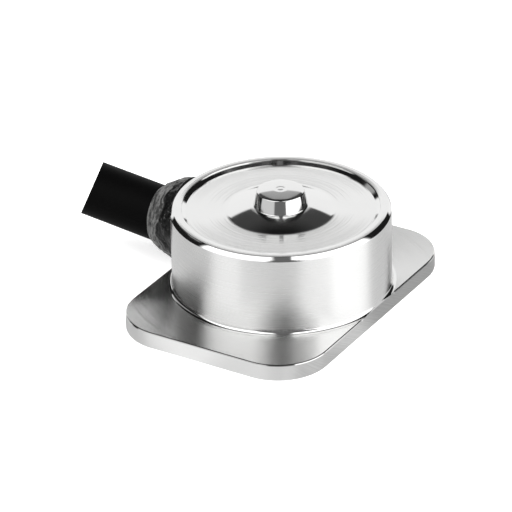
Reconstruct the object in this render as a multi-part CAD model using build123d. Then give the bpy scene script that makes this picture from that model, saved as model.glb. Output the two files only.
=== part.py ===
from build123d import *
import math
import os

os.makedirs("parts", exist_ok=True)

# All sizes are millimetres. The origin is on the drum's axis, at the underside of the flange.
# +Z points out of the load button, Y runs along the flange and the cable leaves towards -X.

# Outer form: a round drum on a flat flange with rounded corners, one piece of bar
drum_diameter = 20.0
flange_length = 28.2
flange_thickness = 1.6
flange_corner = 4.8
side_land = 0.05            # strip of flange outside the drum on each long side
foot_fillet = 0.42
flange_edge_break = 0.12
rim_chamfer_run = 0.30
rim_chamfer_drop = 0.38
rim_width = 0.75

# Top: polished recess, shallow crowned boss and the load button
recess_depth = 0.37
recess_bevel = 0.27
boss_diameter = 9.9
boss_rise = 0.50
boss_crown_radius = 20.0           # radius of the boss's crowned slope
button_foot_bevel = 0.12
button_base_diameter = 4.88
button_top_diameter = 4.30
button_side = 1.38          # height of the button's tapered side
button_edge_bevel = 0.06
button_dome = 0.17

# Underside: cover, wiring space, board, cable port, hub and sensing web, from the bottom up
cover_inset = 0.20
cover_thickness = 0.70
cover_gap = 0.05
cover_edge_bevel = 0.30
core_diameter = 1.0
core_gap = 0.05
board_thickness = 0.60
board_gap = 0.10
board_hole_diameter = 6.6
port_land = 0.40            # wall between the board's ledge and the cable port
hub_clearance = 0.50
hub_length = 1.38
web_thickness = 1.20
web_bevel = 0.30
edge_wall = 1.30            # wall round the cover
cover_shoulder = 0.60
ledge_width = 0.50

# Strain gauges under the web
gauge_count = 4
backing_length = 3.30
backing_width = 2.40
backing_thickness = 0.08
foil_thickness = 0.03
grid_lines = 8
grid_line_width = 0.11
grid_pitch = 0.22
grid_length = 1.70
tab_length = 0.60
tab_neck = 0.25
tab_split = 0.30            # bare strip between the two tabs
backing_margin = 0.15
gauge_clearance = 0.35      # from each end of a backing to the web's bevels

# Board, fitted parts and fine wires
pad_thickness = 0.05
lead_width = 0.25
lead_thickness = 0.10
lead_pad_length = 0.90
lead_pad_width = 0.60
core_pad_length = 1.80
core_pad_width = 1.10
chip_length = 1.60
chip_width = 0.80
chip_height = 0.45
chip_cap = 0.30
chip_cap_proud = 0.02

# Cable: jacket, braid, filler and four cores
jacket_diameter = 5.20
jacket_wall = 0.65
braid_thickness = 0.13
sheath_gap = 0.02
cable_tilt = 5.92           # degrees that the stub rises on its way out
cable_length = 10.58          # from the drum's wall to the middle of the cut end
cable_cut_turn = 21.9       # degrees that the slanted cut faces round towards -Y
cable_cut_rise = 23.1       # degrees that it faces upwards
jacket_standoff = 0.45
core_pitch = 1.10
conductor_diameter = 0.50
strip_length = 1.50         # bare conductor on each core pad
joint_height = 0.80
joint_foot = 0.92
joint_taper = 9.2           # degrees that the solder's sides lean in
drain_joint_height = 0.20
drain_diameter = 0.60
wire_flat_count = 12        # each core, conductor and drain wire is drawn with this many flats
potting_cover = 0.25
potting_length = 2.30
port_inset = 0.30            # from the wiring space to the compound
drop_pitch = 1.60           # between the two pairs of cores where they pass the board

# Sealant collar where the cable meets the drum
collar_length = 2.80
collar_root_diameter = 7.90
collar_lip = 0.12
collar_lift = 0.42
collar_swell = 0.16         # how far the collar's outline bulges at its middle

# Radii and heights that follow from the sizes above
standing = (Align.CENTER, Align.CENTER, Align.MIN)
hanging = (Align.CENTER, Align.CENTER, Align.MAX)
drum_radius = drum_diameter / 2
flange_width = drum_diameter + 2 * side_land
cover_recess_radius = drum_radius - edge_wall
lower_radius = cover_recess_radius - cover_shoulder
upper_radius = lower_radius - ledge_width
cover_radius = cover_recess_radius - cover_gap
board_radius = lower_radius - board_gap
hub_radius = upper_radius - backing_length - 2 * (gauge_clearance + web_bevel)

core_radius = core_diameter / 2
core_offset = core_pitch / 2
drain_spacing = core_radius + drain_diameter / 2 + core_gap
drain_drop = core_offset + math.sqrt(drain_spacing**2 - core_offset**2)
port_radius = drain_drop + drain_diameter / 2 + potting_cover

cover_seat = cover_inset + cover_thickness
board_underside = cover_seat + core_diameter + 2 * core_gap
ledge_height = board_underside + board_thickness
cable_height = ledge_height + port_land + port_radius
hub_underside = cable_height + core_offset + core_radius + hub_clearance
web_underside = hub_underside + hub_length
disc_height = web_underside + web_thickness
rim_height = disc_height + recess_depth
boss_top = disc_height + boss_rise
button_shoulder = boss_top + button_side
button_top = button_shoulder + button_dome

boss_radius = boss_diameter / 2
button_base_radius = button_base_diameter / 2
button_top_radius = button_top_diameter / 2
boss_inner_radius = button_base_radius + 1.3 * button_foot_bevel
rim_inner_radius = drum_radius - rim_chamfer_run - rim_width

gauge_radius = (hub_radius + upper_radius) / 2
board_hole_radius = board_hole_diameter / 2
top_pad_reach = (board_hole_radius + upper_radius) / 2
under_pad_reach = (board_hole_radius + board_radius) / 2
foil_top = web_underside - backing_thickness
foil_underside = foil_top - foil_thickness

jacket_radius = jacket_diameter / 2
braid_radius = jacket_radius - jacket_wall - sheath_gap
filler_radius = braid_radius - braid_thickness - sheath_gap
tilt = math.radians(cable_tilt)

# The cable's line: from the drum's wall outwards, local Y up and local X across
cable_line = Plane(
    origin=(-drum_radius, 0, cable_height),
    x_dir=(0, -1, 0),
    z_dir=(-math.cos(tilt), 0, math.sin(tilt)),
)


def bevelled(section, corners):
    """Bevel the named corners of a flat section: each is (x, y, length)."""
    for x, y, length in corners:
        vertex = section.vertices().sort_by_distance((x, y, 0))[0]
        section = chamfer(vertex, length=length)
    return section


def turned(section):
    """Revolve a section drawn with X as radius and Y as height."""
    return revolve(Plane.XZ * section, axis=Axis.Z)


def flange_outline(height):
    """A prism of the flange's outline, from the underside up."""
    return extrude(RectangleRounded(flange_width, flange_length, flange_corner), height)


def drum_section():
    """Half section of the drum, its rim, recess and boss, and the button."""
    base = flange_thickness / 2
    foot = drum_radius + 2 * foot_fillet
    rim_corner = (drum_radius - rim_chamfer_run, rim_height)
    boss_edge = (boss_radius, disc_height)
    boss_shoulder = (boss_inner_radius, boss_top)
    button_corner = (button_top_radius, button_shoulder)
    outline = Polyline(
        (0, base),
        (foot, base),
        (foot, flange_thickness),
        (drum_radius, flange_thickness),
        (drum_radius, rim_height - rim_chamfer_drop),
        rim_corner,
        (rim_inner_radius, rim_height),
        (rim_inner_radius, disc_height),
        boss_edge,
    )
    outline += RadiusArc(boss_edge, boss_shoulder, -boss_crown_radius)
    outline += Polyline(boss_shoulder, (button_base_radius, boss_top), button_corner)
    outline += ThreePointArc(button_corner, dome_point(button_top_radius / 2), (0, button_top))
    outline += Line((0, button_top), (0, base))
    section = bevelled(
        make_face(outline),
        [
            (rim_inner_radius, disc_height, recess_bevel),
            (button_base_radius, boss_top, button_foot_bevel),
            (*button_corner, button_edge_bevel),
        ],
    )
    foot_corner = section.vertices().sort_by_distance((drum_radius, flange_thickness, 0))[0]
    return fillet(foot_corner, radius=foot_fillet)


def dome_point(radius):
    """A point of the button's dome at this radius."""
    sphere = (button_top_radius**2 + button_dome**2) / (2 * button_dome)
    return (radius, button_top - sphere + math.sqrt(sphere**2 - radius**2))


def cavity_section():
    """Half section of the space under the web: cover recess, wiring space and gauge space."""
    outline = Polyline(
        (0, -cover_thickness),
        (cover_recess_radius, -cover_thickness),
        (cover_recess_radius, cover_seat),
        (lower_radius, cover_seat),
        (lower_radius, ledge_height),
        (upper_radius, ledge_height),
        (upper_radius, web_underside),
        (hub_radius, web_underside),
        (hub_radius, hub_underside),
        (0, hub_underside),
        close=True,
    )
    return bevelled(
        make_face(outline),
        [
            (upper_radius, web_underside, web_bevel),
            (hub_radius, web_underside, web_bevel),
        ],
    )


def sensor_body():
    """Flange, drum, sensing web and button: one piece, turned and milled from bar."""
    flange = flange_outline(flange_thickness)
    rims = flange.edges().group_by(Axis.Z)[-1] + flange.edges().group_by(Axis.Z)[0]
    flange = chamfer(rims, flange_edge_break)
    drum = turned(drum_section()) & flange_outline(2 * button_top)
    port_length = drum_radius - upper_radius / 2
    port = Plane((-drum_radius - edge_wall, 0, cable_height), z_dir=(1, 0, 0)) * Cylinder(
        port_radius, port_length, align=standing
    )
    return flange + drum - turned(cavity_section()) - port


def bottom_cover():
    """Thin steel disc that closes the cavity against its shoulder."""
    section = Polyline(
        (0, cover_inset),
        (cover_radius - cover_edge_bevel, cover_inset),
        (cover_radius, cover_inset + cover_edge_bevel),
        (cover_radius, cover_seat),
        (0, cover_seat),
        close=True,
    )
    return turned(make_face(section))


def cover_bead():
    """Adhesive in the groove round the cover's bevelled edge."""
    section = Polyline(
        (cover_radius - cover_edge_bevel, cover_inset),
        (cover_recess_radius, cover_inset),
        (cover_recess_radius, cover_inset + cover_edge_bevel),
        (cover_radius, cover_inset + cover_edge_bevel),
        close=True,
    )
    return turned(make_face(section))


def gauge_places():
    """One local frame per gauge, on the web's underside, with local X pointing outwards."""
    step = 360 / gauge_count
    for i in range(gauge_count):
        yield Rot(0, 0, step * (i + 0.5)) * Pos(gauge_radius, 0, 0)


def gauge_backing():
    """Polyimide backing of one gauge, centred on its frame."""
    return Pos(0, 0, foil_top) * Box(
        backing_length, backing_width, backing_thickness, align=standing
    )


grid_end = backing_length / 2 - backing_margin - grid_pitch
grid_start = grid_end - grid_length
tab_outer = grid_start - tab_neck
tab_middle = tab_outer - tab_length / 2
grid_half_width = (grid_lines - 1) * grid_pitch / 2 + grid_line_width / 2
tab_width = grid_half_width - tab_split / 2
tab_offset = (tab_split + tab_width) / 2
lead_lean = top_pad_reach - gauge_radius - tab_middle


def gauge_grid():
    """Etched foil of one gauge: a folded line with a solder tab at each of its ends."""
    lines = []
    for i in range(grid_lines):
        across = (i - (grid_lines - 1) / 2) * grid_pitch
        first_or_last = i in (0, grid_lines - 1)
        start = tab_outer - grid_line_width if first_or_last else grid_start
        middle = Location(((start + grid_end) / 2, across))
        lines.append(middle * Rectangle(grid_end - start, grid_line_width))
        if i < grid_lines - 1:
            end = grid_end if i % 2 == 0 else grid_start
            loop_middle = Location((end, across + grid_pitch / 2))
            lines.append(loop_middle * Rectangle(grid_pitch, grid_pitch + grid_line_width))
    for side in (-1, 1):
        lines.append(Location((tab_middle, side * tab_offset)) * Rectangle(tab_length, tab_width))
    foil = Sketch() + lines
    return Pos(0, 0, foil_underside) * extrude(foil, foil_thickness)


def lead_path(side):
    """Route of one gauge lead in its gauge's frame: from the foil's tab it leans out to the board's pad."""
    fall = foil_underside - ledge_height - pad_thickness
    across = side * tab_offset
    return Polyline(
        (tab_middle, across, foil_underside),
        (tab_middle, across, foil_underside - 0.3 * fall),
        (tab_middle + lead_lean, across, foil_underside - 0.6 * fall),
        (tab_middle + lead_lean, across, ledge_height + pad_thickness),
    )


def swept(path, section):
    """A section swept along a path of straight runs with mitred corners; local X of the section lies along Y."""
    start = Plane(path @ 0, x_dir=(0, 1, 0), z_dir=path % 0)
    return sweep(start * section, path=path, transition=Transition.RIGHT)


def wire(path, diameter):
    """A wire along a path, drawn with flats to keep the hidden wiring light."""
    return swept(path, RegularPolygon(diameter / 2, wire_flat_count))


def gauge_leads():
    """Flat ribbon leads between the gauges' tabs and the board, two for each gauge."""
    ribbon = Rectangle(lead_width, lead_thickness)
    return [place * swept(lead_path(side), ribbon) for place in gauge_places() for side in (-1, 1)]


def terminal_board():
    """Ring-shaped board held up against the ledge, open in the middle for the cores."""
    ring = Circle(board_radius) - Circle(board_hole_radius)
    return Pos(0, 0, board_underside) * extrude(ring, board_thickness)


def pad(length, width, height):
    """A copper pad that stands up from the given height."""
    return Pos(0, 0, height) * Box(
        length, width, pad_thickness, align=standing
    )


def core_columns():
    """Each core's own place: side across, side up, and where it passes the board."""
    for across in (-1, 1):
        for up in (-1, 1):
            yield across, up, up * drop_pitch / 2


def board_pads():
    """Copper pads: two for each gauge and one for the drain wire on top, four below for the cores."""
    pads = []
    for place in gauge_places():
        for side in (-1, 1):
            foot = Pos(tab_middle + lead_lean, side * tab_offset, 0)
            pads.append(place * foot * pad(lead_pad_length, lead_pad_width, ledge_height))
    pads.append(Pos(-top_pad_reach, 0, 0) * pad(lead_pad_length, core_pad_width, ledge_height))
    for across, up, column in core_columns():
        place = Pos(column, across * under_pad_reach, 0)
        pads.append(place * pad(core_pad_width, core_pad_length, board_underside - pad_thickness))
    return pads


def chip_resistor():
    """Chip resistor under the board, lying along Y: a ceramic block with proud end caps."""
    block = Box(chip_width, chip_length, chip_height - chip_cap_proud, align=hanging)
    for end in (-1, 1):
        cap = Box(chip_width + 2 * chip_cap_proud, chip_cap, chip_height, align=hanging)
        block += Pos(0, end * (chip_length - chip_cap) / 2, 0) * cap
    return Pos(0, 0, board_underside) * block


def core_path(across, up, column):
    """Route of one core: along the cable, level through the port, then down past the board to its pad."""
    side = across * core_offset
    height = up * core_offset
    level = cable_height + height
    under_board = board_underside - core_gap - core_radius
    outer_end = cable_line.from_local_coords((-side, height, 2 * cable_length))
    return Polyline(
        outer_end,
        (-drum_radius + height * math.tan(tilt / 2), side, level),
        (column, side, level),
        (column, side, under_board),
        (column, across * (under_pad_reach + core_pad_length / 2), under_board),
    )


def cable_end_cut():
    """Everything beyond the slanted cut at the cable's free end."""
    turn = math.radians(cable_cut_turn)
    rise = math.radians(cable_cut_rise)
    facing = (-math.cos(rise) * math.cos(turn), -math.cos(rise) * math.sin(turn), math.sin(rise))
    middle = cable_line.from_local_coords((0, 0, cable_length))
    reach = 3 * cable_length
    return Plane(middle, z_dir=facing) * Box(reach, reach, reach, align=standing)


def core_conductor(across, up, column):
    """Stranded copper of one core, from the cut end to its pad."""
    return wire(core_path(across, up, column), conductor_diameter) - cable_end_cut()


def core_insulation(across, up, column):
    """Coloured insulation of one core, stripped back at the pad."""
    path = core_path(across, up, column)
    outwards = Align.MIN if across > 0 else Align.MAX
    stripped = Pos(0, across * (under_pad_reach + core_pad_length / 2 - strip_length), 0) * Box(
        drum_diameter, drum_diameter, board_underside, align=(Align.CENTER, outwards, Align.MIN)
    )
    whole = wire(path, core_diameter) - wire(path, conductor_diameter)
    return whole - cable_end_cut() - stripped


def cable_round(radius, start, end):
    """A round bar on the cable's line between two distances from the drum's wall."""
    return cable_line * Pos(0, 0, start) * Cylinder(
        radius, end - start, align=standing
    )


def cable_tube(outer, inner):
    """One tubular layer of the cable, cut off at its free end."""
    tube = cable_round(outer, jacket_standoff, 2 * cable_length)
    tube -= cable_round(inner, 0, 3 * cable_length)
    return tube - cable_end_cut()


def cable_filler():
    """Soft filler round the four cores, inside the braid."""
    filler = cable_round(filler_radius, jacket_standoff, 2 * cable_length) - cable_end_cut()
    for across, up, column in core_columns():
        filler -= wire(core_path(across, up, column), core_diameter)
    return filler


def drain_path():
    """Route of the braid's drain wire: through the port under the cores, then down to its pad."""
    start = cable_line.from_local_coords((0, -drain_drop, jacket_standoff))
    level = cable_height - drain_drop
    return Polyline(
        start,
        (-drum_radius - drain_drop * math.tan(tilt / 2), 0, level),
        (-top_pad_reach, 0, level),
        (-top_pad_reach, 0, ledge_height + pad_thickness),
    )


def port_potting():
    """Compound that fills the port round the cores and the drain wire."""
    start = Plane((-upper_radius - port_inset, 0, cable_height), z_dir=(-1, 0, 0))
    plug = start * Cylinder(
        port_radius - sheath_gap, potting_length, align=standing
    )
    for across, up, column in core_columns():
        plug -= wire(core_path(across, up, column), core_diameter)
    return plug - wire(drain_path(), drain_diameter)


def cable_sealant():
    """Trumpet of sealant from the cable's jacket to the drum's wall."""
    lip = Vector(0, collar_lip + jacket_radius)
    mouth = cable_line.from_local_coords((0, 0, collar_length))
    root = Vector(-drum_radius, 0, cable_height + collar_lift)
    axis = Plane(mouth, x_dir=(0, -1, 0), z_dir=root - mouth)
    run = (root - mouth).length
    root_radius = collar_root_diameter / 2
    slope = (root_radius - lip.Y) / run
    inside = run + edge_wall
    outer = (inside, lip.Y + slope * inside)
    outline = Line((0, 0), (0, lip.Y))
    outline += Polyline((0, lip.Y), (run / 2, lip.Y + slope * run / 2 + collar_swell), outer)
    outline += Polyline(outer, (inside, 0), (0, 0))
    trumpet = revolve(Plane(mouth, x_dir=root - mouth, z_dir=(0, -1, 0)) * make_face(outline),
                      axis=Axis(mouth, root - mouth))
    trumpet -= cable_round(jacket_radius, jacket_standoff, cable_length)
    trumpet -= cable_round(port_radius, -edge_wall, 2 * jacket_standoff)
    return trumpet - seat_envelope()


def seat_envelope():
    """What the collar seats against: flange, foot fillet and the drum's round wall."""
    wall = Cylinder(drum_radius, 2 * button_top, align=standing)
    drum = turned(drum_section()) & flange_outline(2 * button_top)
    return flange_outline(flange_thickness) + drum + wall


def solder_mound(height):
    """Solder on a pad: a square foot and sides that lean in."""
    return extrude(Rectangle(joint_foot, joint_foot), height, taper=joint_taper)


def solder_joints():
    """Solder on the four core pads and on the drain wire's pad."""
    joints = []
    for across, up, column in core_columns():
        place = Pos(column, across * under_pad_reach, board_underside - pad_thickness)
        joint = place * Rot(180, 0, 0) * solder_mound(joint_height)
        joints.append(joint - wire(core_path(across, up, column), conductor_diameter))
    drain_joint = Pos(-top_pad_reach, 0, ledge_height + pad_thickness) * solder_mound(drain_joint_height)
    joints.append(drain_joint - wire(drain_path(), drain_diameter))
    return joints


def write(name, shape):
    """Write one piece, or a group of like pieces, under its own name."""
    if isinstance(shape, list):
        shape = Compound(children=[solid for piece in shape for solid in piece.solids()])
    export_step(shape, f"parts/{name}.step")


write("sensor_body", sensor_body())
write("bottom_cover", bottom_cover())
write("cover_bead", cover_bead())
write("terminal_board", terminal_board())
write("board_pads", board_pads())
write("solder_joints", solder_joints())
write("gauge_leads", gauge_leads())
write("port_potting", port_potting())
write("cable_sealant", cable_sealant())
write("cable_jacket", cable_tube(jacket_radius, braid_radius + sheath_gap))
write("cable_braid", cable_tube(braid_radius, braid_radius - braid_thickness))
write("cable_filler", cable_filler())
write("drain_wire", wire(drain_path(), drain_diameter))

for number, place in enumerate(gauge_places(), start=1):
    write(f"gauge_backing_{number}", place * gauge_backing())
    write(f"gauge_grid_{number}", place * gauge_grid())

core_colours = ("green", "white", "red", "black")
for colour, place in zip(core_colours, core_columns()):
    write(f"core_insulation_{colour}", core_insulation(*place))
    write(f"core_conductor_{colour}", core_conductor(*place))

chip_places = {
    "zero_resistor": (under_pad_reach, drop_pitch),
    "span_resistor": (under_pad_reach, -drop_pitch),
    "balance_resistor": (-under_pad_reach, 0),
}
for name, (x, y) in chip_places.items():
    write(name, Pos(x, y, 0) * chip_resistor())
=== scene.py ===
import math

import bmesh
import bpy
from mathutils import Matrix, Vector, noise


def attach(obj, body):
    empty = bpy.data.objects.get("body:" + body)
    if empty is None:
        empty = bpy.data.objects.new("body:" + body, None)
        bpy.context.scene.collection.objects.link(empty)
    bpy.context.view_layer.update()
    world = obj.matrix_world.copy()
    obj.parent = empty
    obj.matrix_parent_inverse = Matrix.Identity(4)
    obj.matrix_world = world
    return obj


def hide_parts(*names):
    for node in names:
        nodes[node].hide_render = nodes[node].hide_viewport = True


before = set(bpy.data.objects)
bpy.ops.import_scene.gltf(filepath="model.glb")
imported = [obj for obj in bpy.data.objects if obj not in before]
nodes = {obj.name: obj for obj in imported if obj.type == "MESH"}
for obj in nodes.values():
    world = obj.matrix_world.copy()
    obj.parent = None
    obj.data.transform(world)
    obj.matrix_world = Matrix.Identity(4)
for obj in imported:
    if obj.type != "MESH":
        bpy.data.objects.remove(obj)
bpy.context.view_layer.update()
scene = bpy.context.scene
mm = 0.001
print("frame loaded:", len(nodes), "nodes")


camera = {
    "place": (0.15427455, -0.25227128, 0.16576356),
    "right": (0.85474014, 0.51863977, -0.02078648),
    "up": (-0.23331598, 0.41967081, 0.87717733),
    "forward": (-0.46366253, 0.74490886, -0.47971643),
    "lens": 261.46,
    "sensor": 36.0,
}


def placeCamera(view):
    data = bpy.data.cameras.new("camera")
    data.lens = view["lens"]
    data.sensor_width = view["sensor"]
    data.clip_start = 0.01
    data.clip_end = 20
    eye = bpy.data.objects.new("camera", data)
    scene.collection.objects.link(eye)
    turn = Matrix((view["right"], view["up"], [-v for v in view["forward"]])).transposed()
    eye.matrix_world = Matrix.Translation(view["place"]) @ turn.to_4x4()
    scene.camera = eye


placeCamera(camera)
scene.view_settings.view_transform = "Standard"
print("camera placed")


class Wire:
    # a socket that can be added, subtracted, multiplied, divided and raised
    def __init__(self, tree, socket=None):
        self.tree = tree
        self.socket = socket

    def node(self, kind, settings=None, inputs=None, output=0):
        made = self.tree.nodes.new(kind)
        for name, value in (settings or {}).items():
            if name == "stops":
                setStops(made.color_ramp, value)
            else:
                setattr(made, name, value)
        for name, value in (inputs or {}).items():
            if isinstance(value, Wire):
                self.tree.links.new(value.socket, made.inputs[name])
            else:
                made.inputs[name].default_value = value
        return Wire(self.tree, made.outputs[output] if len(made.outputs) else None)

    def maths(self, operation, *values):
        return self.node("ShaderNodeMath", {"operation": operation}, dict(enumerate(values)))

    def __add__(self, other):
        return self.maths("ADD", self, other)

    def __radd__(self, other):
        return self.maths("ADD", other, self)

    def __sub__(self, other):
        return self.maths("SUBTRACT", self, other)

    def __rsub__(self, other):
        return self.maths("SUBTRACT", other, self)

    def __mul__(self, other):
        return self.maths("MULTIPLY", self, other)

    def __rmul__(self, other):
        return self.maths("MULTIPLY", other, self)

    def __truediv__(self, other):
        return self.maths("DIVIDE", self, other)

    def __pow__(self, other):
        return self.maths("POWER", self, other)

    def above(self, low, high):
        # 0 below low, 1 above high, with a soft step between
        return self.node(
            "ShaderNodeMapRange",
            {"interpolation_type": "SMOOTHSTEP"},
            {"Value": self, "From Min": low, "From Max": high},
        )

    def within(self, low, high, edge):
        return self.above(low - edge, low + edge) * (1 - self.above(high - edge, high + edge))

    def blend(self, start, end):
        # a number between start and end, by this wire
        return self.node("ShaderNodeMix", {"data_type": "FLOAT"}, {0: self, 2: start, 3: end})

    def along(self, stops):
        # a number read off a line of (place, value) points
        places = [place for place, value in stops]
        values = [value for place, value in stops]
        first, run = places[0], places[-1] - places[0]
        low, span = min(values), max(values) - min(values)
        marks = [((place - first) / run, (value - low) / span) for place, value in stops]
        return self.node("ShaderNodeValToRGB", {"stops": marks}, {0: (self - first) / run}) * span + low

    def tint(self, start, end):
        # a colour between start and end, by this wire
        made = self.node("ShaderNodeMix", {"data_type": "RGBA"}, {0: self, 6: colour(start), 7: colour(end)}, 2)
        return made

    def parts(self):
        outputs = self.node("ShaderNodeSeparateXYZ", None, {0: self}).socket.node.outputs
        return [Wire(self.tree, outputs[i]) for i in range(3)]


def colour(value):
    return value if isinstance(value, Wire) else (*value, 1)


def setStops(ramp, stops):
    while len(ramp.elements) > 1:
        ramp.elements.remove(ramp.elements[-1])
    ramp.elements[0].position, first = stops[0]
    ramp.elements[0].color = (first, first, first, 1)
    for place, level in stops[1:]:
        ramp.elements.new(place).color = (level, level, level, 1)


def startMaterial(name):
    material = bpy.data.materials.new(name)
    material.use_nodes = True
    tree = material.node_tree
    tree.nodes.clear()
    return material, Wire(tree)


def finishMaterial(wire, sockets):
    # the surface shader, from values or wires
    shader = wire.node("ShaderNodeBsdfPrincipled", None, sockets)
    wire.node("ShaderNodeOutputMaterial", None, {"Surface": shader})


def fineNoise(wire, place, scale, detail=2.0, roughness=0.5):
    return wire.node(
        "ShaderNodeTexNoise", None, {"Vector": place, "Scale": scale, "Detail": detail, "Roughness": roughness}
    )


def lineNoise(wire, along, scale, detail=2.0):
    return wire.node(
        "ShaderNodeTexNoise", {"noise_dimensions": "1D"}, {"W": along, "Scale": scale, "Detail": detail}
    )


def bumped(wire, height, distance, strength=1.0, under=None):
    sockets = {"Strength": strength, "Distance": distance, "Height": height}
    if under is not None:
        sockets["Normal"] = under
    return wire.node("ShaderNodeBump", None, sockets)


def onObject(wire):
    return wire.node("ShaderNodeTexCoord", None, None, "Object")


studio = {
    "towards": (0.5217, -0.8531),   # level direction from the object to the camera
    "across": (0.8531, 0.5217),     # level direction to the camera's right
    "backdrop": 1.08,
    "leftBox": 1.75,
    "rightBox": 1.9,
    "leftLow": 0.74,
    "rightLow": 1.7,
    "flag": 0.16,
    "flagLeft": [(0, -28), (30, -25), (47, -11), (60, -14)],    # its edges at these heights, in degrees
    "flagRight": [(0, 18), (18, 34), (32, 38), (47, 11), (60, 14)],
    "boxTop": 76,
    "boxTopFall": 0.33,
    "flagStart": (91, 100),     # where the side flags start, left and right
    "sideFlag": 0.012,
    "sideGap": 0.42,            # a paler strip across the left flag, between these heights
    "sideGapRun": (24, 35),
    "sideGapStart": [(22, 114), (28.3, 104), (30.5, 99), (34, 96)],
    "ceiling": 0.012,
    # the backdrop's brightness by height, and how its lower edge rises towards the sides
    "backEdge": 171.6,
    "backSlope": 0.3,
    "backStart": [(0, 140), (10, 142), (30, 154), (60, 156)],
    "back": [(0, 1.0), (29.6, 1.0), (31.2, 0.42), (44, 0.36), (50, 0.22), (56, 0.07), (68, 0.03)],
    "backDark": (42, 45, 0.86),     # it is shaded above these heights, and lower towards its sides
    "backDarkFall": 2.2,
}
floorLook = {
    "reach": 1.4,
    "colour": 0.9,
    "lift": 0.56,
    # where the floor's brightness changes in the drum wall: place on the wall in degrees, level beyond it
    "bands": [(-60, 0.54, 1.18), (-22, 1.18, 0.94), (8, 0.94, 1.06), (26, 1.06, 1.32), (50, 1.32, 0.76)],
    "band": 0.0016,
    "near": 0.040,          # the bands hold this near the axis, and the studio's own levels beyond far
    "far": 0.070,
}


def studioLevel(look, ahead, right, rise):
    # brightness of the studio in one direction: boxes and a flag by the camera, flags at the sides, a backdrop
    turn = rise.maths("DEGREES", rise.maths("ARCTAN2", right, ahead))
    off = turn.maths("ABSOLUTE", turn)
    isRight = turn.above(-2, 2)
    high = isRight.blend(look["leftBox"], look["rightBox"])
    low = isRight.blend(look["leftLow"], look["rightLow"])
    front = rise.above(20, 28).blend(low, high)
    boxTop = look["boxTop"] - off.maths("MAXIMUM", off - 45, 0.0) * look["boxTopFall"]
    front = (rise - boxTop).above(-4, 4).blend(front, look["ceiling"])
    leftEdge = turn - rise.along(look["flagLeft"])
    rightEdge = turn - rise.along(look["flagRight"])
    inFlag = leftEdge.above(-4, 4) * (1 - rightEdge.above(-1.5, 1.5))
    front = inFlag.blend(front, look["flag"])
    drop = (look["backEdge"] - off).maths("MAXIMUM", look["backEdge"] - off, 0.0) * look["backSlope"]
    low, top, share = look["backDark"]
    aside = off.maths("MAXIMUM", 175 - off, 0.0) * look["backDarkFall"]
    shade = (rise + aside).above(low, top) * (rise - drop).above(29.6, 31.2) * share
    back = (rise - drop).along(look["back"]) * (1 - shade)
    start = isRight.blend(*look["flagStart"])
    low, top = look["sideGapRun"]
    inGap = rise.above(low - 1, low + 2) * (1 - rise.above(top - 2, top + 1))
    inGap = inGap * (off - rise.along(look["sideGapStart"])).above(0, 4) * (1 - isRight)
    level = (off - start).above(-3, 3).blend(front, inGap.blend(look["sideFlag"], look["sideGap"]))
    return (off - rise.along(look["backStart"])).above(-2, 2).blend(level, back * look["backdrop"])


def lightWorld(look):
    world = bpy.data.worlds.new("studio")
    scene.world = world
    world.use_nodes = True
    world.node_tree.nodes.clear()
    wire = Wire(world.node_tree)
    x, y, z = wire.node("ShaderNodeTexCoord", None, None, "Generated").parts()
    ahead = x * look["towards"][0] + y * look["towards"][1]
    right = x * look["across"][0] + y * look["across"][1]
    rise = wire.maths("DEGREES", wire.maths("ARCSINE", z))
    level = studioLevel(look, ahead, right, rise)
    isCamera = wire.node("ShaderNodeLightPath", None, None, "Is Camera Ray")
    strength = isCamera.blend(level, 1.0)
    sky = wire.node("ShaderNodeBackground", None, {"Color": (1, 1, 1, 1), "Strength": strength})
    wire.node("ShaderNodeOutputWorld", None, {"Surface": sky})


def layFloor(look, view):
    bm = bmesh.new()
    bmesh.ops.create_grid(bm, x_segments=1, y_segments=1, size=look["reach"])
    floor = bpy.data.objects.new("floor", bpy.data.meshes.new("floor"))
    bm.to_mesh(floor.data)
    bm.free()
    scene.collection.objects.link(floor)
    floor.location.z = -0.00002

    material, wire = startMaterial("floorPaper")
    x, y, z = onObject(wire).parts()
    ahead = x * view["towards"][0] + y * view["towards"][1]
    right = x * view["across"][0] + y * view["across"][1]
    level = None
    for place, before, after in look["bands"]:
        turn = math.radians(place)
        foot = (0.01 * math.cos(turn), 0.01 * math.sin(turn))
        line = (math.cos(2 * turn), math.sin(2 * turn))
        # distance to the right of the line that the wall sees from this place
        side = (right - foot[1]) * line[0] - (ahead - foot[0]) * line[1]
        step = side.above(-look["band"], look["band"])
        level = step.blend(before if level is None else level, after)
    distance = wire.maths("SQRT", x * x + y * y)
    level = distance.above(look["near"], look["far"]).blend(level, studioLevel(view, ahead, right, z))
    paper = wire.node("ShaderNodeBsdfDiffuse", None, {"Color": (*[look["colour"]] * 3, 1)})
    lift = wire.node("ShaderNodeEmission", None, {"Strength": look["lift"]})
    seen = wire.node("ShaderNodeAddShader", None, {0: paper, 1: lift})
    mirrored = wire.node("ShaderNodeEmission", None, {"Strength": level})
    isGlossy = wire.node("ShaderNodeLightPath", None, None, "Is Glossy Ray")
    surface = wire.node("ShaderNodeMixShader", None, {0: isGlossy, 1: seen, 2: mirrored})
    wire.node("ShaderNodeOutputMaterial", None, {"Surface": surface})
    floor.data.materials.append(material)


def hangLamp(name, place, size, power):
    data = bpy.data.lights.new(name, "AREA")
    data.size = size
    data.energy = power
    lamp = bpy.data.objects.new(name, data)
    scene.collection.objects.link(lamp)
    lamp.location = place
    lamp.rotation_euler = (-Vector(place)).to_track_quat("-Z", "Y").to_euler()
    lamp.visible_glossy = False
    return lamp


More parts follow.
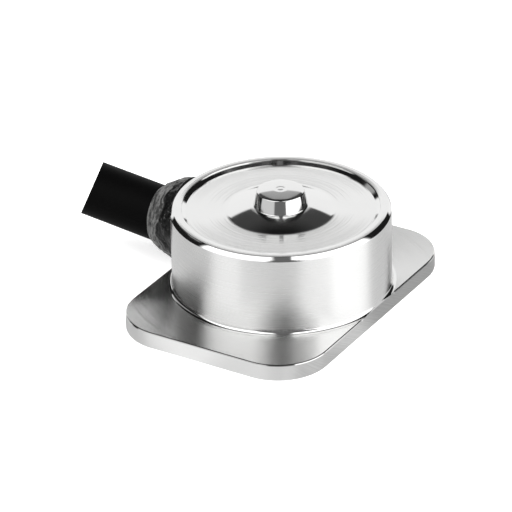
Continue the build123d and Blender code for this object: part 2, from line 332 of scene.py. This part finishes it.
lightWorld(studio)
layFloor(floorLook, studio)
hangLamp("softKey", (0.35, -0.15, 0.55), 0.5, 5.0)
hangLamp("softFill", (-0.45, -0.25, 0.40), 0.5, 2.5)
print("studio lit")


def finishPiece(bm, name, material, sharp=30, joined=True):
    if joined:
        bmesh.ops.remove_doubles(bm, verts=bm.verts[:], dist=0.0005)
        bmesh.ops.dissolve_degenerate(bm, dist=0.0002, edges=bm.edges[:])
        bmesh.ops.recalc_face_normals(bm, faces=bm.faces[:])
    bmesh.ops.scale(bm, vec=(mm, mm, mm), verts=bm.verts[:])
    mesh = bpy.data.meshes.new(name)
    bm.to_mesh(mesh)
    bm.free()
    mesh.shade_smooth()
    mesh.set_sharp_from_angle(angle=math.radians(sharp))
    piece = bpy.data.objects.new(name, mesh)
    scene.collection.objects.link(piece)
    mesh.materials.append(material)
    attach(piece, "root")
    return piece


def drawLine(bm, points):
    verts = [bm.verts.new((x, 0, z)) for x, z in points]
    for pair in zip(verts, verts[1:]):
        bm.edges.new(pair)
    return verts


def roundCorner(bm, vert, radius, segments=4):
    # turns a corner of a drawn line into an arc of this radius
    before, after = [(e.other_vert(vert).co - vert.co) for e in vert.link_edges]
    turn = math.pi - before.angle(after)
    bmesh.ops.bevel(
        bm, geom=[vert], offset=radius * math.tan(turn / 2), segments=segments,
        profile=0.5, affect="VERTICES", material=-1,
    )


def arcBetween(start, end, radius, count):
    # points between start and end on an arc that bulges to the left of the way there
    a, b = Vector(start), Vector(end)
    half = (b - a).length / 2
    left = Vector((-(b - a).y, (b - a).x)).normalized()
    centre = (a + b) / 2 - left * math.sqrt(radius**2 - half**2)
    first = math.atan2(*(a - centre).yx)
    last = math.atan2(*(b - centre).yx)
    steps = [first + (last - first) * i / count for i in range(1, count)]
    return [(centre.x + radius * math.cos(t), centre.y + radius * math.sin(t)) for t in steps]


body = {
    "segments": 384,
    "drumRadius": 10.0,
    "wingHalf": (10.05, 14.1),
    "wingCorner": 4.8,
    "wingTop": 1.6,
    "wingEdge": 0.12,
    "footFillet": 0.42,
    "rim": 9.248,
    "rimChamfer": (0.30, 0.38),
    "rimInner": 8.95,
    "disc": 8.878,
    "discBevel": (0.32, 0.225),
    "boss": (4.95, 2.596),
    "bossTop": 9.378,
    "bossCrown": 20.0,
    "buttonFoot": 2.44,
    "bossBlend": 1.5,
    "buttonFootFillet": 0.12,
    "buttonTop": 2.15,
    "shoulder": 10.758,
    "buttonEdge": 0.09,
    "dome": 0.17,
    "edge": 0.035,          # tiny round on the turned edges
    "pip": [(0.46, 0.0), (0.38, -0.012), (0.26, -0.015), (0.18, -0.003), (0.09, 0.0)],
    "coverRecess": (8.70, 0.90),
    "ledge": (8.10, 2.60),
    "space": (7.60, 7.678),
    "hub": (3.00, 6.298),
    "webFillet": 0.30,
    "port": (1.748, 4.748),
}
plateCode = 40.0            # profile radii near this stand for the wing's outline, less an inset


def wingOutline(turn, inset, foot, size):
    # where the wing's outline, moved in by inset, lies at this angle
    halfX, halfY = size["wingHalf"]
    c, s = math.cos(turn), math.sin(turn)
    if foot * abs(c) > halfX - 1e-6:
        return math.copysign(halfX, c), foot * s
    x0, y0 = halfX - size["wingCorner"], halfY - size["wingCorner"]
    sideX = (halfX - inset) / max(abs(c), 1e-9)
    if sideX * abs(s) <= y0:
        return sideX * c, sideX * s
    sideY = (halfY - inset) / max(abs(s), 1e-9)
    if sideY * abs(c) <= x0:
        return sideY * c, sideY * s
    radius = size["wingCorner"] - inset
    along = abs(c) * x0 + abs(s) * y0
    reach = along + math.sqrt(along**2 - x0**2 - y0**2 + radius**2)
    return reach * c, reach * s


def turnBody(size, material):
    bm = bmesh.new()
    domeRadius = (size["buttonTop"] ** 2 + size["dome"] ** 2) / (2 * size["dome"])
    top = size["shoulder"] + size["dome"]

    def domeHeight(r):
        return top - domeRadius + math.sqrt(domeRadius**2 - r**2)

    line = [(0.0, domeHeight(0))]
    line += [(r, domeHeight(r) + drop) for r, drop in reversed(size["pip"])]
    line += [(r, domeHeight(r)) for r in (0.70, 1.0, 1.4, 1.8)]
    buttonCorner = len(line)
    line.append((size["buttonTop"], size["shoulder"]))
    buttonFoot = len(line)
    line.append((size["buttonFoot"], size["bossTop"]))
    line.append((size["boss"][1], size["bossTop"]))
    line += arcBetween(
        (size["boss"][1], size["bossTop"]), (size["boss"][0], size["disc"]), size["bossCrown"], 10
    )
    bossEdge = len(line)
    line.append((size["boss"][0], size["disc"]))
    run, rise = size["discBevel"]
    line.append((size["rimInner"] - run, size["disc"]))
    line.append((size["rimInner"], size["disc"] + rise))
    rimInner = len(line)
    line.append((size["rimInner"], size["rim"]))
    run, drop = size["rimChamfer"]
    rimOuter = len(line)
    line.append((size["drumRadius"] - run, size["rim"]))
    wallTop = len(line)
    line.append((size["drumRadius"], size["rim"] - drop))
    footCorner = len(line)
    line.append((size["drumRadius"], size["wingTop"]))
    foot = size["drumRadius"] + size["footFillet"]
    line.append((foot + 0.001, size["wingTop"]))
    edge = size["wingEdge"]
    line += [
        (plateCode - edge, size["wingTop"]),
        (plateCode - 0.3 * edge, size["wingTop"] - 0.3 * edge),
        (plateCode, size["wingTop"] - edge),
        (plateCode, edge),
        (plateCode - 0.3 * edge, 0.3 * edge),
        (plateCode - edge, 0.0),
    ]
    coverMouth = len(line)
    recess, seat = size["coverRecess"]
    ledge, ledgeHeight = size["ledge"]
    space, web = size["space"]
    hub, hubFoot = size["hub"]
    line += [(recess, 0.0), (recess, seat), (ledge, seat), (ledge, ledgeHeight), (space, ledgeHeight)]
    webOuter = len(line)
    line += [(space, web), (hub, web), (hub, hubFoot), (0.0, hubFoot)]

    verts = drawLine(bm, line)
    rounds = {
        buttonCorner: (size["buttonEdge"], 4),
        buttonFoot: (size["buttonFootFillet"], 5),
        bossEdge: (size["bossBlend"], 6),
        rimInner: (size["edge"], 3),
        rimOuter: (size["edge"] * 1.6, 3),
        wallTop: (size["edge"] * 1.6, 3),
        footCorner: (size["footFillet"], 10),
        coverMouth: (0.06, 2),
        webOuter: (size["webFillet"], 4),
        webOuter + 1: (size["webFillet"], 4),
    }
    for index, (radius, segments) in rounds.items():
        roundCorner(bm, verts[index], radius, segments)
    bmesh.ops.spin(
        bm, geom=bm.verts[:] + bm.edges[:], cent=(0, 0, 0), axis=(0, 0, 1),
        angle=2 * math.pi, steps=size["segments"], use_merge=True,
    )
    # the foot is trimmed at the wing's long sides, and the wing's rows go out to its outline
    halfX = size["wingHalf"][0]
    for v in bm.verts:
        reach = v.co.xy.length
        if reach > plateCode / 2:
            turn = math.atan2(v.co.y, v.co.x)
            beside = foot if v.co.z > 1.5 * edge else 0
            v.co.x, v.co.y = wingOutline(turn, plateCode - reach, beside, size)
        elif abs(v.co.x) > halfX:
            v.co.x = math.copysign(halfX, v.co.x)
    bmesh.ops.remove_doubles(bm, verts=bm.verts[:], dist=0.0005)
    bmesh.ops.dissolve_degenerate(bm, dist=0.0002, edges=bm.edges[:])
    piece = finishPiece(bm, "sensorBody", material, sharp=20)
    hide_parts("sensor_body")
    drillPort(piece, size)
    return piece


def drillPort(piece, size):
    radius, height = size["port"]
    bm = bmesh.new()
    length = size["drumRadius"] - size["space"][0] / 2
    bmesh.ops.create_cone(
        bm, cap_ends=True, segments=64, radius1=radius * mm, radius2=radius * mm, depth=length * mm,
        matrix=Matrix.Translation(((-size["drumRadius"] - 1.3 + length / 2) * mm, 0, height * mm))
        @ Matrix.Rotation(math.pi / 2, 4, "Y"),
    )
    drill = bpy.data.objects.new("drill", bpy.data.meshes.new("drill"))
    bm.to_mesh(drill.data)
    bm.free()
    scene.collection.objects.link(drill)
    cut = piece.modifiers.new("port", "BOOLEAN")
    cut.operation = "DIFFERENCE"
    cut.solver = "EXACT"
    cut.object = drill
    graph = bpy.context.evaluated_depsgraph_get()
    drilled = bpy.data.meshes.new_from_object(piece.evaluated_get(graph))
    piece.modifiers.clear()
    piece.data = drilled
    bpy.data.objects.remove(drill)
    even = piece.modifiers.new("even", "WEIGHTED_NORMAL")
    even.keep_sharp = True
    even.weight = 80


steelLook = {
    "colour": (0.78, 0.78, 0.775),
    "polish": 0.055,
    "wall": 0.26,
    "drawn": 0.85,              # gloss spreads across the turning lines, which run round the axis
    "side": 0.30,
    "wingTop": 0.20,
    "wingRings": 1.7,           # the wing's rings are this much coarser
    "longSides": 0.62,          # how bright the ground long sides are beside the rest
    "rings": 0.0000052,         # height of the turning rings on the tops
    "strokes": 0.0000030,
}


def steelMaterial(look):
    material, wire = startMaterial("turnedSteel")
    place = onObject(wire)
    x, y, z = place.parts()
    reach = wire.maths("SQRT", x * x + y * y)
    nx, ny, nz = wire.node("ShaderNodeNewGeometry", None, None, "Normal").parts()
    isTop = nz.above(0.985, 0.998)
    isSide = 1 - wire.maths("ABSOLUTE", nz).above(0.10, 0.25)
    isButton = 1 - reach.above(0.00262, 0.00270)
    isDrum = (1 - reach.above(0.01030, 0.01036)) * z.above(0.00200, 0.00204)
    isWall = isDrum * isSide * (1 - isButton) * reach.above(0.0095, 0.0099)
    isWing = 1 - z.above(0.00160, 0.00166)

    # turning rings over the tops, level lines round the wall, slanted strokes on the ground sides
    rings = lineNoise(wire, reach, 15000, 1)
    levelLines = lineNoise(wire, z, 16000, 2)
    slanted = lineNoise(wire, (x + y) * 0.6 + z, 9000, 3)
    patch = fineNoise(wire, place, 420, 3)
    speck = fineNoise(wire, place, 5200, 3, 0.6)

    onTop = isTop * (1 - isButton)
    coarser = isWing.blend(1.0, look["wingRings"])
    ringed = bumped(wire, onTop * (rings - 0.5) * coarser, look["rings"])
    strokes = (isWing * isSide).blend(levelLines, slanted)
    depth = bumped(wire, strokes, look["strokes"], isSide, ringed)
    rough = look["polish"] + speck * 0.03 + patch * 0.02
    rough = isWall.blend(rough, look["wall"] + levelLines * 0.04)
    rough = (isWing * isTop).blend(rough, look["wingTop"] + patch * 0.08)
    rough = (isWing * isSide).blend(rough, look["side"] + slanted * 0.12)
    isLong = isWing * isSide * wire.maths("ABSOLUTE", nx).above(0.6, 0.85)
    worn = (patch * 0.6 + speck * 0.4).above(0.30, 0.75)
    tone = worn.tint([c * 0.97 for c in look["colour"]], look["colour"])
    ground = slanted.above(0.35, 0.65).tint(
        [c * look["longSides"] * 0.9 for c in look["colour"]], [c * look["longSides"] * 1.1 for c in look["colour"]]
    )
    tone = wire.node("ShaderNodeMix", {"data_type": "RGBA"}, {0: isLong, 6: tone, 7: ground}, 2)
    finishMaterial(wire, {
        "Base Color": tone,
        "Metallic": 1.0,
        "Roughness": rough,
        "Normal": depth,
        "Anisotropic": look["drawn"],
        "Anisotropic Rotation": 0.25,
    })
    return material


turnBody(body, steelMaterial(steelLook))
print("body turned")


sealant = {
    "cell": 0.075,              # size of the even mesh, in millimetres
    "start": (-10.0, 0.0, 4.748),
    "tilt": 5.92,
    "jacketRadius": 2.6,
    "drumRadius": 10.0,
    "lumps": [(0.9, 0.16), (2.3, 0.07), (6.0, 0.022)],      # how many to a millimetre, how high
    "strands": (5.0, 0.055),
    "ridge": 0.11,
    "ridgeRun": (1.25, 2.75),   # where the raised skin lies, from the drum's wall outwards
}


def cablePlace(size, point):
    # how far along the cable from the drum's wall, how far from its axis, and the angle round it
    tilt = math.radians(size["tilt"])
    along = Vector((-math.cos(tilt), 0, math.sin(tilt)))
    away = point - Vector(size["start"])
    run = away.dot(along)
    side = away - along * run
    return run, side.length, math.atan2(side.z, side.y)


def spreadSealant(size, material):
    # the solid's mesh made even, then wrinkled as stiff sealant wrinkles under a brush
    bm = bmesh.new()
    bm.from_mesh(nodes["cable_sealant"].data)
    bmesh.ops.remove_doubles(bm, verts=bm.verts[:], dist=0.0000005)
    bmesh.ops.recalc_face_normals(bm, faces=bm.faces[:])
    bmesh.ops.scale(bm, vec=(1000, 1000, 1000), verts=bm.verts[:])
    rough = bpy.data.objects.new("sealantForm", bpy.data.meshes.new("sealantForm"))
    bm.to_mesh(rough.data)
    bm.free()
    scene.collection.objects.link(rough)
    even = rough.modifiers.new("even", "REMESH")
    even.mode = "VOXEL"
    even.voxel_size = size["cell"]
    graph = bpy.context.evaluated_depsgraph_get()
    evened = bpy.data.meshes.new_from_object(rough.evaluated_get(graph))
    bpy.data.objects.remove(rough)

    bm = bmesh.new()
    bm.from_mesh(evened)
    bmesh.ops.smooth_vert(bm, verts=bm.verts[:], factor=0.5, use_axis_x=True, use_axis_y=True, use_axis_z=True)
    bm.normal_update()
    moves = []
    for v in bm.verts:
        run, reach, turn = cablePlace(size, v.co)
        free = min(1, max(0, (reach - size["jacketRadius"] - 0.08) / 0.3))
        free *= min(1, max(0, (v.co.xy.length - size["drumRadius"] - 0.02) / 0.25))
        if free <= 0 or v.co.z < 1.75:
            continue
        push = sum(high * noise.noise(v.co * many) for many, high in size["lumps"])
        many, high = size["strands"]
        warp = turn + 0.25 * noise.noise(v.co * 0.8)
        push += high * noise.noise(Vector((math.cos(warp) * many, math.sin(warp) * many, run * 0.9)))
        low, top = size["ridgeRun"]
        low += 0.45 * noise.noise(Vector((turn * 1.3, 3.1, 0)))
        onRidge = min(1, max(0, (run - low) / 0.22)) * min(1, max(0, (top + 0.3 - run) / 0.3))
        push += size["ridge"] * (onRidge - 0.6)
        moves.append((v, v.normal * push * free))
    for v, move in moves:
        v.co += move
    piece = finishPiece(bm, "sealantCollar", material, sharp=75, joined=False)
    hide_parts("cable_sealant")
    return piece


sealantLook = {
    "dark": (0.003, 0.003, 0.003),
    # this grey is a painted sheen: the highlight band along the ridge, put into the base colour
    "sheenGrey": (0.11, 0.11, 0.108),
    "rough": (0.30, 0.45),
}


def sealantMaterial(look, size):
    material, wire = startMaterial("brushedSealant")
    place = onObject(wire)
    x, y, z = place.parts()
    tilt = math.radians(size["tilt"])
    run = (x - size["start"][0] * mm) * -math.cos(tilt) + (z - size["start"][2] * mm) * math.sin(tilt)
    broad = fineNoise(wire, place, 700, 3)
    grain = fineNoise(wire, place, 4200, 4, 0.6)
    drawn = wire.node("ShaderNodeMapping", None, {"Vector": place, "Scale": (1.0, 0.28, 0.28)})
    streaks = fineNoise(wire, drawn, 3400, 3, 0.6)
    low, top = size["ridgeRun"]
    onRidge = (run + (broad - 0.5) * 0.0016).above((low - 0.1) * mm, (low + 0.15) * mm)
    # painted sheen: the ridge is lifted to grey in streaks, standing in for a highlight band on the glossy sealant
    paintedSheen = onRidge * (streaks * 0.75 + grain * 0.25).above(0.40, 0.58)
    # painted highlights: grey specks in the dark valley stand in for small glints on the glossy crinkles
    paintedGlints = (1 - onRidge) * grain.above(0.60, 0.70) * 0.5
    tone = paintedSheen * 0.85 + onRidge * 0.15 + paintedGlints
    height = streaks * 0.6 + grain * 0.4
    finishMaterial(wire, {
        "Base Color": tone.tint(look["dark"], look["sheenGrey"]),
        "Roughness": onRidge.blend(*look["rough"]) + (grain - 0.5) * 0.15,
        "Specular IOR Level": 0.2,
        "Normal": bumped(wire, height, 0.00007, 0.9),
    })
    return material


def plainMaterial(name, tone, rough, metal=0.0, speckle=2500, depth=0.000004, contrast=0.15, coat=0.0, shine=0.5):
    material, wire = startMaterial(name)
    place = onObject(wire)
    grain = fineNoise(wire, place, speckle, 4)
    broad = fineNoise(wire, place, speckle / 9, 2)
    mix = (grain * 0.5 + broad * 0.5).above(0.25, 0.75)
    shade = mix.tint([c * (1 - contrast) for c in tone], [min(1, c * (1 + contrast)) for c in tone])
    finishMaterial(wire, {
        "Base Color": shade,
        "Metallic": metal,
        "Roughness": rough + (grain - 0.5) * 0.12,
        "Coat Weight": coat,
        "Specular IOR Level": shine,
        "Normal": bumped(wire, grain, depth),
    })
    return material


jacketLook = {"colour": (0.0015, 0.0015, 0.0015), "rough": 0.5}
finishes = {
    "epoxy": ("epoxy", (0.03, 0.03, 0.032), 0.18, 0.0),
    "jacket": ("jacket", jacketLook["colour"], jacketLook["rough"], 0.0, 2500, 0.000004, 0.15, 0.0, 0.03),
    "red_insulation": ("redSleeve", (0.60, 0.03, 0.03), 0.45, 0.0),
    "black_insulation": ("blackSleeve", (0.02, 0.02, 0.02), 0.45, 0.0),
    "green_insulation": ("greenSleeve", (0.03, 0.32, 0.10), 0.45, 0.0),
    "white_insulation": ("whiteSleeve", (0.85, 0.85, 0.83), 0.45, 0.0),
    "board": ("board", (0.04, 0.22, 0.10), 0.4, 0.0),
    "solder": ("solder", (0.72, 0.72, 0.74), 0.25, 1.0),
    "gauge_film": ("gaugeFilm", (0.62, 0.36, 0.08), 0.25, 0.0),
    "gauge_foil": ("gaugeFoil", (0.70, 0.62, 0.50), 0.3, 1.0),
    "chip": ("chip", (0.05, 0.05, 0.06), 0.5, 0.0),
}
made = {slot: plainMaterial(*values) for slot, values in finishes.items()}


strandLook = {
    "copper": ((0.30, 0.13, 0.06), (0.90, 0.52, 0.33), 0.16),      # painted shade between the strands, strand, strand width in millimetres
    "braid": ((0.10, 0.09, 0.08), (0.86, 0.84, 0.80), 0.10),
    "filler": ((0.42, 0.39, 0.33), (0.88, 0.86, 0.80), 0.07),
}


def strandMaterial(slot, tilt, metal, rough):
    # bundles seen end on: cells across the cable, long along it
    shadedGap, strand, width = strandLook[slot]
    material, wire = startMaterial(slot + "Strands")
    x, y, z = onObject(wire).parts()
    up = x * math.sin(tilt) + z * math.cos(tilt)
    across = wire.node("ShaderNodeCombineXYZ", None, {"X": y, "Y": up})
    cells = wire.node(
        "ShaderNodeTexVoronoi", {"voronoi_dimensions": "2D"},
        {"Vector": across, "Scale": 1 / (width * mm), "Randomness": 0.45}, "Distance",
    )
    grain = fineNoise(wire, onObject(wire), 9000, 3)
    # painted shade: the cell edges, the gaps between strand ends, are darkened towards the shade colour
    crown = 1 - cells.above(0.18, 0.62)
    finishMaterial(wire, {
        "Base Color": (crown * 0.85 + grain * 0.15).tint(shadedGap, strand),
        "Metallic": metal,
        "Roughness": rough + (grain - 0.5) * 0.15,
        "Normal": bumped(wire, crown, width * 0.3 * mm, 0.7),
    })
    return material


def coverMaterial():
    # thin cover turned from sheet: fine rings and a few handling marks
    material, wire = startMaterial("coverRings")
    place = onObject(wire)
    x, y, z = place.parts()
    reach = wire.maths("SQRT", x * x + y * y)
    rings = lineNoise(wire, reach, 9000, 2)
    wide = lineNoise(wire, reach, 900, 2)
    marks = fineNoise(wire, place, 260, 4, 0.6)
    tone = (rings * 0.4 + wide * 0.3 + marks * 0.3).above(0.3, 0.7)
    finishMaterial(wire, {
        "Base Color": tone.tint((0.52, 0.52, 0.515), (0.66, 0.66, 0.655)),
        "Metallic": 1.0,
        "Roughness": 0.30 + marks * 0.12,
        "Normal": bumped(wire, rings, 0.0000035),
    })
    return material


made["copper"] = strandMaterial("copper", math.radians(sealant["tilt"]), 1.0, 0.30)
made["braid"] = strandMaterial("braid", math.radians(sealant["tilt"]), 1.0, 0.32)
made["filler"] = strandMaterial("filler", math.radians(sealant["tilt"]), 0.0, 0.85)
made["cover_steel"] = coverMaterial()
for name, node in nodes.items():
    for place in node.material_slots:
        key = place.material.name.split(".")[0]
        if key in made:
            place.material = made[key]
print("finishes given")

spreadSealant(sealant, sealantMaterial(sealantLook, sealant))
print("sealant spread")
